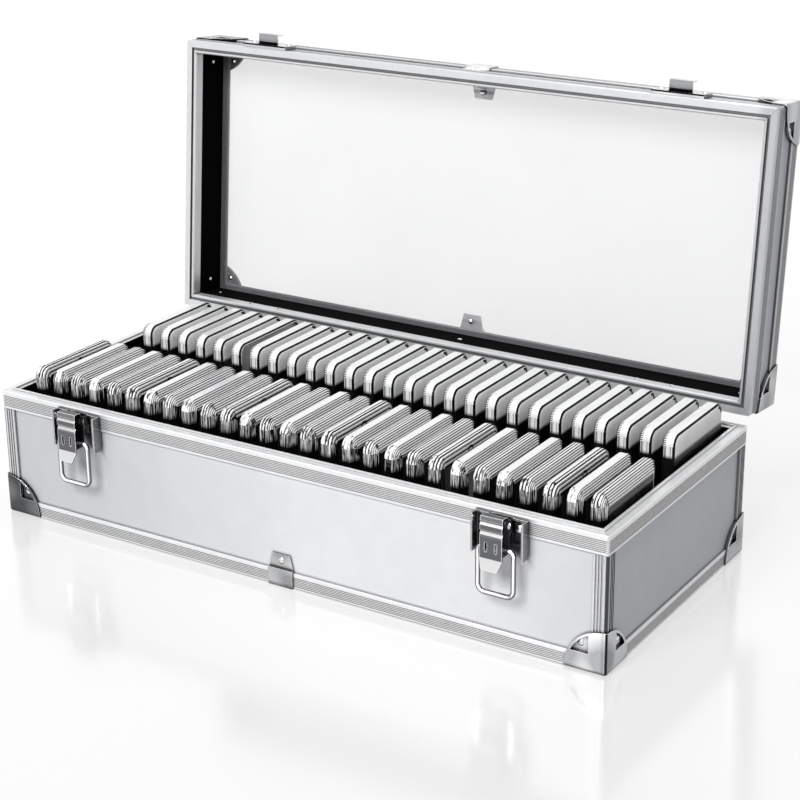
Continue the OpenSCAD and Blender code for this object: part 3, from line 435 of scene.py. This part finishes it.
ALUMINIUM = dict(
    low=(0.79, 0.795, 0.805), high=(0.87, 0.875, 0.885), rough=(0.26, 0.36), stretch=(0.3, 0.3, 0.3),
    rounded=0.00008, metallic=0.5,
)
LATCH = dict(
    low=(0.2, 0.205, 0.215), high=(0.32, 0.325, 0.335), rough=(0.14, 0.24), rounded=0.00025,
    edge=(0.0008, WHITE),
)
PLATED = dict(rough=(0.12, 0.22), rounded=0.0003, cloud_scale=60.0, cloud_detail=0.0, share=0.05)
METALS = {
    "facing_board": dict(
        low=(0.735, 0.74, 0.755), high=(0.775, 0.782, 0.795), rough=(0.4, 0.5), stretch=(0.1, 0.1, 0.1),
        rounded=0.0, metallic=0.12, grain=0.000004, crease_shade=(0.0016, 0.0, 1.3), paint=paint_board_sheen,
    ),
    "rail_aluminium": dict(ALUMINIUM, crease_shade=(0.0014, 0.0, 1.6)),
    "rim_aluminium": dict(ALUMINIUM, crease_shade=(0.0014, 0.0, 1.5), paint=paint_rim_shade),
    "lid_aluminium": dict(ALUMINIUM, crease_shade=(0.002, 0.0, 3.0), paint=paint_lid_rail_shade),
    "post_aluminium": dict(ALUMINIUM, crease_shade=(0.002, 0.0, 2.0), paint=paint_post_shade),
    "cap_steel": dict(
        PLATED, low=(0.42, 0.425, 0.435), high=(0.93, 0.935, 0.94), stretch=(0.2, 0.2, 0.2), share=0.03,
        edge=(0.0004, (0.97, 0.97, 0.97)), crease_shade=(0.003, 0.0, 2.4), paint=paint_cap_reflection,
    ),
    "plated_steel": dict(
        PLATED, low=(0.5, 0.505, 0.52), high=(0.85, 0.855, 0.865),
        edge=(0.0004, (0.95, 0.95, 0.95)), crease_shade=(0.003, 0.0, 2.2),
    ),
    "catch_steel": dict(
        PLATED, low=(0.6, 0.605, 0.62), high=(0.8, 0.805, 0.815), rounded=0.0002,
        crease_shade=(0.005, 0.0, 2.6), paint=paint_catch_gap_shadow,
    ),
    "clip_steel": dict(
        PLATED, low=(0.6, 0.605, 0.62), high=(0.85, 0.855, 0.865), rough=(0.16, 0.26),
        stretch=(0.2, 0.2, 0.2), metallic=0.5, share=0.03, edge=(0.0004, (0.97, 0.97, 0.97)),
    ),
    "latch_steel": dict(LATCH, crease_shade=(0.007, 0.0, 1.6)),
    "lever_steel": dict(LATCH, crease_shade=(0.004, 0.0, 1.4), paint=paint_lever_light),
    "wire_steel": dict(
        low=(0.66, 0.665, 0.68), high=(0.85, 0.855, 0.865), rough=(0.1, 0.18), rounded=0.0,
        crease_shade=(0.002, 0.0, 1.2), paint=paint_wire_reflection,
    ),
    "rivet_steel": dict(
        low=(0.5, 0.505, 0.52), high=(0.86, 0.865, 0.87), rough=(0.1, 0.18), rounded=0.0,
        crease_shade=(0.003, 0.0, 1.6), cloud_scale=300.0,
    ),
    "coin_silver": dict(
        low=(0.5, 0.5, 0.49), high=(0.74, 0.74, 0.72), rough=(0.2, 0.34), rounded=0.0,
        edge=(0.0003, (0.85, 0.85, 0.83)), crease_shade=(0.001, 0.1, 1.5),
    ),
}
PLASTICS = {
    "floor_board": dict(
        low=(0.03, 0.03, 0.032), high=(0.05, 0.05, 0.052), rough=(0.5, 0.65), scale=700.0, depth=0.0002,
    ),
    "black_lining": dict(
        low=(0.0008, 0.0008, 0.001), high=(0.0025, 0.0025, 0.003), rough=(0.85, 0.98), scale=1500.0,
        depth=0.0001, specular=0.03,
    ),
    "white_insert": dict(
        low=(0.8, 0.8, 0.79), high=(0.86, 0.86, 0.85), rough=(0.5, 0.65), scale=300.0, depth=0.00005,
    ),
    "gasket_grey": dict(
        low=(0.09, 0.092, 0.1), high=(0.12, 0.122, 0.13), rough=(0.5, 0.7), scale=500.0, depth=0.0001,
    ),
}
MAT = {name: metal(name, **values) for name, values in METALS.items()}
MAT.update({name: plastic(name, **values) for name, values in PLASTICS.items()})
MAT["black_foam"] = foam("black_foam")
MAT["window_clear"] = clear_plate("window_clear")

# The nodes that don't take the finish of their own material slot
FINISH = {
    "latch_plates": "latch_steel",
    "left_lever": "lever_steel",
    "right_lever": "lever_steel",
    "left_bail": "wire_steel",
    "right_bail": "wire_steel",
    "front_rim_rail": "rim_aluminium",
    "rear_rim_rail": "rim_aluminium",
    "left_rim_rail": "rim_aluminium",
    "right_rim_rail": "rim_aluminium",
    "base_corner_posts": "post_aluminium",
    "lid_corner_posts": "post_aluminium",
    "lid_rim_rails": "lid_aluminium",
    "lid_top_rails": "lid_aluminium",
    "catch_plates": "catch_steel",
    "base_corner_caps": "cap_steel",
    "lid_corner_caps": "cap_steel",
    "base_edge_clips": "cap_steel",
    "lid_edge_clips": "clip_steel",
}
for item in frame["record"]["subparts"]:
    finish = FINISH.get(item["node"], item["material_slot"])
    if finish in MAT:
        mesh = NODES[item["node"]].data
        mesh.materials.clear()
        mesh.materials.append(MAT[finish])

RIBBED = (1, 0.1, 0.1)
SLAB_MATS = [
    plastic(
        "slab_band", (0.84, 0.845, 0.86), (0.95, 0.955, 0.96), (0.1, 0.2), 260.0, 0.00003,
        stretch=(1, 0.15, 0.15), coat=0.6, deep=SHADE_OF_FOAM,
    ),
    # Painted shade: near-black lines for the grooves, risers and outlines between a slab's bright strips
    plastic(
        "slab_line", (0.002, 0.002, 0.003), (0.008, 0.008, 0.01), (0.3, 0.45), 400.0, 0.00003,
        stretch=RIBBED, specular=0.1,
    ),
    plastic(
        "slab_plate", (0.88, 0.885, 0.9), (0.97, 0.975, 0.985), (0.3, 0.45), 120.0, 0.00003,
        coat=0.2, glow_depth=0.012, deep=SHADE_OF_FOAM,
    ),
    plastic(
        "slab_ridge", (0.88, 0.885, 0.9), (0.98, 0.985, 0.99), (0.1, 0.22), 240.0, 0.00003,
        stretch=(1.0, 0.12, 1.0), coat=0.5,
    ),
    streaks("slab_front_edge", (0.003, 0.003, 0.004), (0.92, 0.925, 0.94), 1000.0, 0.5),
    plastic(
        "slab_shade", (0.3, 0.305, 0.32), (0.46, 0.465, 0.48), (0.15, 0.3), 500.0, 0.00003,
        stretch=RIBBED, coat=0.3, deep=SHADE_OF_FOAM,
    ),
    clear_plate("slab_clear"),
    # Painted glints: bright flecks with dark specks on the front corners
    plastic(
        "slab_glint", (0.004, 0.004, 0.005), (0.96, 0.965, 0.975), (0.08, 0.16), 750.0, 0.0001,
        stretch=(1.0, 0.35, 0.35), coat=0.5, stops=(0.4, 0.5),
    ),
    # Painted shade: the dark flat sides deep in the gaps between the front row's slabs
    plastic(
        "slab_deep", (0.006, 0.006, 0.008), (0.06, 0.06, 0.065), (0.15, 0.3), 300.0, 0.00003,
        stretch=(1, 1, 0.1), coat=0.4,
    ),
]
BAND, LINE, PLATE, RIDGE, STREAK, SHADE, SEE, GLINT, DEEP = range(len(SLAB_MATS))
# Two marks that stand for a pattern and not for one material: fine dark lines round the front corner,
# and a dark line that hooks over the rear top corner
HATCH = 20
HOOK = 21


# Slabs


def outline(w, h, r, inset, steps):
    """Points of a rounded rectangle that stands on z = 0, drawn inset from its edge, as (y, z)."""
    rr = max(r - inset, LEAST_R)
    pts = []
    for cy, cz, a0 in ((1, 1, 0), (-1, 1, 90), (-1, 0, 180), (1, 0, 270)):
        oy = cy * (w / 2 - inset - rr)
        oz = (h - inset - rr) if cz else inset + rr
        for k in range(steps + 1):
            a = math.radians(a0 + 90 * k / steps)
            pts.append((oy + rr * math.cos(a), oz + rr * math.sin(a)))
    return pts


def strip(x, inset, top, front=None, corner=None):
    """A line round a slab: how far right and how deep it lies, and the materials from it to the next.

    top is the material of the top and all that isn't named, front that of the front end, and corner
    that of the rounded front top corner."""
    front = top if front is None else front
    return x, inset, top, front, (front if corner is None else corner)


def strips(*rows):
    return [strip(*row) for row in rows]


def add_slab(bm, x0, y0, row, stations, end, steps):
    """One slab lofted through its strips; end, if given, is the material of its two flat sides."""
    rings = []
    for x, inset, *_ in stations:
        points = outline(row["w"], row["h"], SLAB_R, inset, steps)
        at = (x0 + x) * MM
        rings.append([bm.verts.new((at, (y0 + y) * MM, (PAD_TOP + z) * MM)) for y, z in points])
    n = len(rings[0])
    for (a, b), (_, _, top, front, corner) in zip(zip(rings, rings[1:]), stations):
        for i in range(n):
            j = (i + 1) % n
            f = bm.faces.new((a[i], a[j], b[j], b[i]))
            f.smooth = False
            if steps < i <= 2 * steps:
                mat = (LINE if i % 2 else BAND) if corner == HATCH else corner
            elif i == 2 * steps + 1:
                mat = front
            elif top == HOOK:
                mat = LINE if i < steps else PLATE
            else:
                mat = top
            f.material_index = end if end is not None and mat in (PLATE, DEEP) else mat
    for ring in (rings[0], rings[-1]):
        f = bm.faces.new(ring)
        f.material_index = end if end is not None else stations[-1][2]


# A smooth slab: bright band, dark line along the right edge, then the pale side plate
REAR_PROFILE = strips(
    (-HALF_T, 2.6, PLATE, LINE, LINE), (-3.78, 1.0, LINE, LINE, LINE), (-3.65, 0.5, LINE, LINE, LINE),
    (-3.3, 0.2, BAND, LINE, LINE), (-3.0, 0.08, BAND, LINE, HATCH), (-2.7, 0.03, BAND, BAND, HATCH),
    (-2.3, 0.0, BAND, LINE, HATCH), (-1.9, 0.0, BAND, SHADE, HATCH), (-1.6, 0.0, BAND, SHADE, BAND),
    (-1.2, 0.0, BAND), (0.9, 0.0, BAND, SHADE, BAND), (1.5, 0.0, BAND), (2.3, 0.0, BAND, LINE, BAND),
    (2.6, 0.05, LINE), (3.0, 0.2, LINE), (3.4, 0.55, LINE), (3.6, 0.9, BAND),
    (HALF_T, 1.2, HOOK, PLATE), (HALF_T, 2.8, PLATE), (HALF_T, 3.2, PLATE),
)


def steps_down(x, inset, count, ledge, slope, drop):
    """Sloping bright ledges with dark risers, stepping outwards and down the side of a slab."""
    out = []
    for _ in range(count):
        out += strips((x, inset, RIDGE), (x + ledge, inset + slope, LINE))
        x += ledge
        inset += slope + drop
    return out + strips((x, inset, RIDGE))


def streaked(profile):
    """The same strips with a dark streaked front end and glinting front corners."""
    return [
        (x, inset, top, STREAK, GLINT if corner in (BAND, RIDGE) else corner)
        for x, inset, top, _, corner in profile
    ]


# The front row's slabs: a plain left side, then a smooth, a notched or a twice grooved top
LEFT = strips((-HALF_T, 6.8, DEEP, LINE, LINE), (-3.75, 0.8, LINE), (-3.5, 0.35, BAND), (-3.0, 0.08, BAND))
RIGHT = strips((HALF_T, 6.6, DEEP))
SMOOTH = LEFT + strips((1.5, 0.0, BAND), (1.8, 0.12, LINE))
SMOOTH += steps_down(1.85, 0.65, 4, 0.48, 0.6, 0.6) + RIGHT
NOTCH = LEFT + strips(
    (-0.9, 0.0, LINE), (-0.85, 0.35, LINE), (-0.1, 0.35, BAND), (-0.05, 0.0, BAND), (0.9, 0.05, LINE),
    (0.95, 0.5, LINE), (1.6, 0.55, BAND), (2.4, 0.75, BAND), (2.5, 1.6, LINE), (2.9, 1.9, BAND),
    (3.3, 2.5, BAND), (3.35, 3.2, LINE), (3.5, 4.0, RIDGE), (HALF_T, 4.7, RIDGE), (HALF_T, 5.2, LINE),
) + RIGHT
RIDGED = LEFT + strips(
    (-2.2, 0.0, LINE), (-2.15, 0.35, LINE), (-1.5, 0.35, BAND), (-1.45, 0.0, BAND), (-0.4, 0.0, LINE),
    (-0.35, 0.35, LINE), (0.3, 0.35, BAND), (0.35, 0.0, BAND), (1.4, 0.05, LINE),
) + steps_down(1.6, 0.6, 4, 0.52, 0.6, 0.6) + RIGHT
FRONT_KINDS = tuple(streaked(profile) for profile in (NOTCH, SMOOTH, RIDGED, SMOOTH, RIDGED))
MARK_EVERY = 5


def add_finger_mark(bm, x0, y0, row):
    """A small raised half ring at the middle of the top edge."""
    outer, inner, below_top, steps = 2.6, 2.0, 4.6, 10
    sunk_x, raised_x = 3.7, 4.0
    zc = PAD_TOP + row["h"] - below_top
    loops = []
    for x in (sunk_x, raised_x):
        for r in (outer, inner):
            turns = [math.pi * k / steps for k in range(steps + 1)]
            points = [(y0 + r * math.cos(a), zc + r * math.sin(a)) for a in turns]
            loops.append([bm.verts.new(((x0 + x) * MM, y * MM, z * MM)) for y, z in points])
    near_out, near_in, far_out, far_in = loops
    for k in range(steps):
        for a, b in ((far_out, far_in), (near_out, far_out), (far_in, near_in)):
            f = bm.faces.new((a[k], a[k + 1], b[k + 1], b[k]))
            f.material_index = LINE


def slot_x(i):
    """The middle of a slot along the case."""
    return (i - (SLOTS - 1) / 2) * SLOT_PITCH + ROW_SHIFT


def make_object(name, bm, mats, body):
    """A bmesh as an object that rides on a body."""
    mesh = bpy.data.meshes.new(name)
    bmesh.ops.recalc_face_normals(bm, faces=bm.faces)
    bm.to_mesh(mesh)
    bm.free()
    for m in mats:
        mesh.materials.append(m)
    o = bpy.data.objects.new(name, mesh)
    bpy.context.scene.collection.objects.link(o)
    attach(o, body)
    return o


def slab_object(name, row, slots, kinds, body, replaced, steps, end=None, marks=False):
    """The slabs of the given slots as one piece that stands for a node."""
    bm = bmesh.new()
    for i in slots:
        add_slab(bm, slot_x(i), row["y"], row, kinds[i % len(kinds)], end, steps)
        if marks and i % MARK_EVERY == 0:
            add_finger_mark(bm, slot_x(i), row["y"], row)
    o = make_object(name, bm, SLAB_MATS, body)
    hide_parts(replaced)


# The coin's face, in millimetres of a coin of 19 mm radius: where its rim, beads, ring and petals lie
COIN_R = 19.0
COIN_RADII = [0.5 + 0.5 * k for k in range(34)] + [17.7, 18.2, 18.8, COIN_R]
COIN_STEPS = 240
RIM_R, RIM_FOOT_R, RIM_H = 17.7, 17.4, 1.2
FIELD_H = 0.86
BEADS, BEAD_H, BEAD_BAND = 60, 0.2, 1.2
BEAD_RING = (16.0, 17.2)
PLAIN_RING, PLAIN_RING_H = (12.6, 13.4), 0.12
PETAL_R, PETAL_LOBE, PETAL_H = 7.0, 4.5, 0.24
EDGE_DROP = 0.15


def coin_height(r, angle):
    """Relief of the coin's face: raised rim, a ring of beads and a plain rosette, in millimetres."""
    if r > RIM_R:
        return RIM_H
    if r > RIM_FOOT_R:
        return RIM_H - (RIM_R - r)
    h = FIELD_H
    if BEAD_RING[0] < r < BEAD_RING[1]:
        across = math.sin(math.pi * (r - BEAD_RING[0]) / BEAD_BAND)
        h += BEAD_H * max(0.0, math.cos(BEADS * angle)) * across
    lobe = abs(math.cos(4 * angle))
    petal = PETAL_R + PETAL_LOBE * lobe
    if r < petal:
        h += PETAL_H * (1.0 - (r / petal) ** 2) ** 0.5 * (0.55 + 0.45 * lobe)
    if PLAIN_RING[0] < r < PLAIN_RING[1]:
        h += PLAIN_RING_H
    return h


def add_coin(name, node_name, body):
    """The coin of a lifted slab, with both faces struck in relief."""
    corners = [v.co for v in NODES[node_name].data.vertices]
    low = [min(c[k] for c in corners) for k in range(3)]
    high = [max(c[k] for c in corners) for k in range(3)]
    mid = [(a + b) / 2 for a, b in zip(low, high)]
    radius = (high[1] - low[1]) / 2 / MM
    scale = radius / COIN_R
    bm = bmesh.new()
    rims = []
    for side in (1, -1):
        centre = bm.verts.new((mid[0] + side * coin_height(0.0, 0.0) * MM, mid[1], mid[2]))
        last = None
        for r in COIN_RADII:
            ring = []
            for k in range(COIN_STEPS):
                a = 2 * math.pi * k / COIN_STEPS
                h = coin_height(r, a) - (EDGE_DROP if r == COIN_R else 0.0)
                y = mid[1] + r * scale * math.cos(a) * MM
                z = mid[2] + r * scale * math.sin(a) * MM
                ring.append(bm.verts.new((mid[0] + side * h * MM, y, z)))
            for k in range(COIN_STEPS):
                m = (k + 1) % COIN_STEPS
                inner = (centre,) if last is None else (last[k],)
                outer = () if last is None else (last[m],)
                bm.faces.new((*inner, ring[k], ring[m], *outer)).smooth = True
            last = ring
        rims.append(last)
    for k in range(COIN_STEPS):
        m = (k + 1) % COIN_STEPS
        bm.faces.new((rims[0][k], rims[1][k], rims[1][m], rims[0][m]))
    o = make_object(name, bm, [MAT["coin_silver"]], body)
    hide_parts(node_name)


for label, row, kinds, steps in (
    ("front", FRONT_ROW, FRONT_KINDS, 8),
    ("rear", REAR_ROW, (REAR_PROFILE,), 18),
):
    rest = [i for i in range(row["first"], SLOTS) if i != row["lift"]]
    lifted = f"{label}_lift_slab"
    slab_object(
        f"{label}_row_slabs", row, rest, kinds, "base", f"{label}_slabs", steps, marks=label == "front",
    )
    slab_object(
        f"{label}_lifted_slab", row, [row["lift"]], kinds, lifted, f"{label}_lift_shells", steps, end=SEE,
    )
    add_coin(f"{label}_coin", f"{label}_lift_coin", lifted)


# Foam


def islands(mesh):
    """Lowest and highest corner of each separate solid of a mesh."""
    bm = bmesh.new()
    bm.from_mesh(mesh)
    bmesh.ops.remove_doubles(bm, verts=bm.verts, dist=1e-6)
    left = set(bm.verts)
    boxes = []
    while left:
        group, queue = set(), [left.pop()]
        while queue:
            v = queue.pop()
            group.add(v)
            for e in v.link_edges:
                w = e.other_vert(v)
                if w in left:
                    left.discard(w)
                    queue.append(w)
        lows = [min(v.co[k] for v in group) for k in range(3)]
        highs = [max(v.co[k] for v in group) for k in range(3)]
        boxes.append((Vector(lows), Vector(highs)))
    bm.free()
    return sorted(boxes, key=lambda box: tuple(box[0]))


FOAM_ROUND = 0.0009
FOAM_CROWN = 0.0004


def foam_block(bm, low, high):
    """A cut foam block: softly rounded upper edges and a top that is crowned a little."""
    size = high - low
    r = min(FOAM_ROUND, size.x * 0.3, size.y * 0.3)
    nx, ny = (3, 14) if size.x < size.y else (14, 3)
    grid = {}
    for i in range(nx + 1):
        for j in range(ny + 1):
            u, v = i / nx, j / ny
            x = low.x + r + (size.x - 2 * r) * u
            y = low.y + r + (size.y - 2 * r) * v
            crown = FOAM_CROWN * (1 - (2 * u - 1) ** 2) * (1 - (2 * v - 1) ** 2) - FOAM_CROWN
            grid[i, j] = bm.verts.new((x, y, high.z + crown))
    rim = [(i, 0) for i in range(nx)] + [(nx, j) for j in range(ny)]
    rim += [(i, ny) for i in range(nx, 0, -1)] + [(0, j) for j in range(ny, 0, -1)]
    for i in range(nx):
        for j in range(ny):
            bm.faces.new((grid[i, j], grid[i + 1, j], grid[i + 1, j + 1], grid[i, j + 1])).smooth = True
    last = [grid[key] for key in rim]
    edge = high.z - FOAM_CROWN
    for t, z in ((0.7, edge - r * 0.3), (1.0, edge - r), (1.0, low.z)):
        ring = []
        for i, j in rim:
            c = grid[i, j].co
            dx = (-1 if i == 0 else 1 if i == nx else 0) * r * t
            dy = (-1 if j == 0 else 1 if j == ny else 0) * r * t
            ring.append(bm.verts.new((c.x + dx, c.y + dy, z)))
        for k in range(len(ring)):
            m = (k + 1) % len(ring)
            bm.faces.new((last[k], ring[k], ring[m], last[m])).smooth = True
        last = ring
    bm.faces.new(list(reversed(last)))


for foam_node in ("floor_pad", "row_divider", "front_foam_ribs", "rear_foam_ribs"):
    bm = bmesh.new()
    for low, high in islands(NODES[foam_node].data):
        foam_block(bm, low, high)
    piece = make_object(f"{foam_node}_soft", bm, [MAT["black_foam"]], "base")
    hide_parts(foam_node)


# Floor, light, world and camera

FLOOR_HALF = 12.0
WORLD_LIGHT = 0.19
# What the camera, mirrors and glass see of the floor; anything else sees its plain grey
FLOOR_GREY = (0.34, 0.34, 0.345, 1)
FLOOR_SEEN = (0.26, 0.26, 0.265, 1)
FLOOR_SEEN_GLOW = 0.56
SEEN_RAYS = ("Is Camera Ray", "Is Glossy Ray", "Is Transmission Ray")


def seen_rays(nodes, links):
    """1 for what the camera sees, straight or by a mirror or glass, and 0 for all other light."""
    path = nodes.new("ShaderNodeLightPath")
    value = path.outputs[SEEN_RAYS[0]]
    for other in SEEN_RAYS[1:]:
        value = math_node(nodes, links, "MAXIMUM", value, path.outputs[other])
    return value


def build_floor():
    """A pale, faintly mirroring floor that keeps the case's shadow."""
    mesh = bpy.data.meshes.new("floor")
    s = FLOOR_HALF
    mesh.from_pydata([(-s, -s, 0), (s, -s, 0), (s, s, 0), (-s, s, 0)], [], [(0, 1, 2, 3)])
    o = bpy.data.objects.new("floor", mesh)
    bpy.context.scene.collection.objects.link(o)
    m, nodes, links, bsdf = new_material("studio_floor")
    seen = seen_rays(nodes, links)
    mix = node(nodes, "ShaderNodeMix", data_type="RGBA")
    mix.inputs[6].default_value = FLOOR_GREY
    mix.inputs[7].default_value = FLOOR_SEEN
    links.new(seen, mix.inputs[0])
    links.new(mix.outputs[2], bsdf.inputs["Base Color"])
    bsdf.inputs["Emission Color"].default_value = (1, 1, 1, 1)
    glow = math_node(nodes, links, "MULTIPLY", seen, FLOOR_SEEN_GLOW)
    links.new(glow, bsdf.inputs["Emission Strength"])
    bsdf.inputs["Roughness"].default_value = 0.14
    bsdf.inputs["IOR"].default_value = 2.2
    mesh.materials.append(m)


def area(name, at, target, size, power):
    """A soft rectangular lamp at a point, turned to another."""
    data = bpy.data.lights.new(name, "AREA")
    data.shape = "RECTANGLE"
    data.size, data.size_y = size
    data.energy = power
    o = bpy.data.objects.new(name, data)
    o.location = at
    o.rotation_mode = "QUATERNION"
    o.rotation_quaternion = (Vector(target) - Vector(at)).to_track_quat("-Z", "Y")
    bpy.context.scene.collection.objects.link(o)


def build_world():
    """A white room that lights the case only a little."""
    world = bpy.data.worlds.new("studio")
    bpy.context.scene.world = world
    world.use_nodes = True
    nodes, links = world.node_tree.nodes, world.node_tree.links
    bg = nodes["Background"]
    links.new(spread(nodes, links, seen_rays(nodes, links), WORLD_LIGHT, 1.0), bg.inputs["Strength"])
    bg.inputs["Color"].default_value = (1, 1, 1, 1)


def build_camera():
    """The photograph's camera, fitted to the case."""
    data = bpy.data.cameras.new("camera")
    data.lens = CAMERA_LENS
    data.sensor_width = 36.0
    data.clip_start, data.clip_end = 0.05, 50.0
    o = bpy.data.objects.new("camera", data)
    aim = (Vector(CAMERA_TARGET) - Vector(CAMERA_AT)).to_track_quat("-Z", "Y")
    roll = Matrix.Rotation(math.radians(CAMERA_ROLL), 4, "Z")
    o.matrix_world = Matrix.Translation(CAMERA_AT) @ aim.to_matrix().to_4x4() @ roll
    bpy.context.scene.collection.objects.link(o)
    bpy.context.scene.camera = o


build_floor()
build_world()
CASE_MIDDLE = (0, 0, 0.1)
area("key", (-0.15, -2.9, 2.4), CASE_MIDDLE, (1.8, 1.6), 125.0)
area("top", (0.0, 0.4, 2.8), CASE_MIDDLE, (2.2, 1.6), 26.0)
build_camera()
scene = bpy.context.scene
scene.view_settings.view_transform = "Standard"
